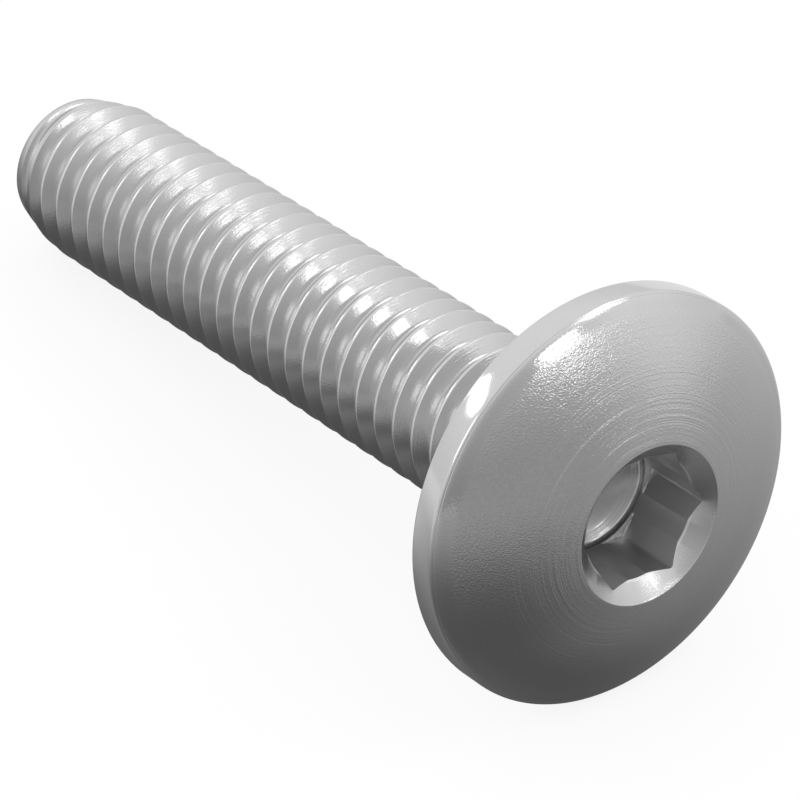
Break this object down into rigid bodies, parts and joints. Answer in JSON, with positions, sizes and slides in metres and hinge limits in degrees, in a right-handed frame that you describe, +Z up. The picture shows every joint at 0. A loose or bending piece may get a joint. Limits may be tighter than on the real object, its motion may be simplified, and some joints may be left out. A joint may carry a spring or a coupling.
{
  "type": "button head screw",
  "caption": "Button head machine screw with a wide low dome, a hexagon socket and a fully threaded right-hand metric shank, lying on its side.",
  "frame": {"origin": "centre of the box's base, on the surface that the screw lies on", "axes": "+Z up; the screw's head points along +X, and its axis lies in the XZ plane, 8.25 degrees higher at the head"},
  "size_m": [0.0333, 0.014, 0.014],
  "materials": {
    "steel": "satin turned metal, neutral grey"
  },
  "bodies": {
    "root": {"screw": "steel"}
  },
  "joints": []
}
